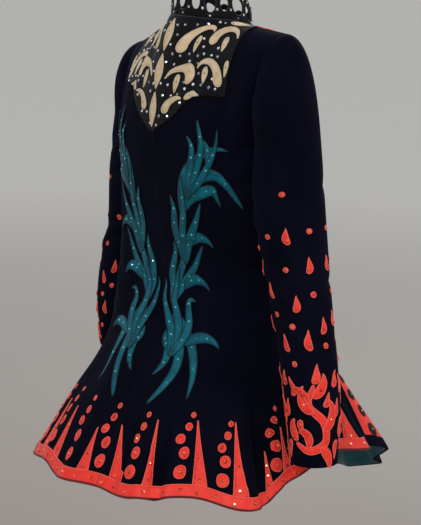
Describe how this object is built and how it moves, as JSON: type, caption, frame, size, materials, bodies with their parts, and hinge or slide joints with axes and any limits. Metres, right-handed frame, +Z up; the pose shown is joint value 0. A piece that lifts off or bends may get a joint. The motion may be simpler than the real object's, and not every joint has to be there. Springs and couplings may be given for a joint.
{
  "type": "irish dance dress",
  "caption": "Short long-sleeved velvet dance dress, worn form: openwork stand collar, pointed back yoke, fluted flared skirt with hem border.",
  "frame": {"origin": "between the shoulders at the height of the nape, where the wearer holds the dress", "axes": "+Z up along the wearer's back, -Y towards the front of the dress, -X towards the wearer's right"},
  "size_m": [0.536, 0.4761, 0.6761],
  "materials": {
    "velvet": "deep pile velvet, near-black navy",
    "lace": "black cord lace, slight sheen",
    "cream": "cream satin with black cord",
    "orange": "orange-red satin",
    "teal": "dark teal satin lining"
  },
  "bodies": {
    "root": {"back_left": "velvet", "back_right": "velvet", "front": "velvet", "sleeve_left": "velvet", "sleeve_right": "velvet", "collar_left": "lace", "collar_right": "lace", "yoke_left": "cream", "yoke_right": "cream", "hem_border_back_left": "orange", "hem_border_back_right": "orange", "hem_border_front": "orange", "skirt_lining": "teal"}
  },
  "joints": []
}
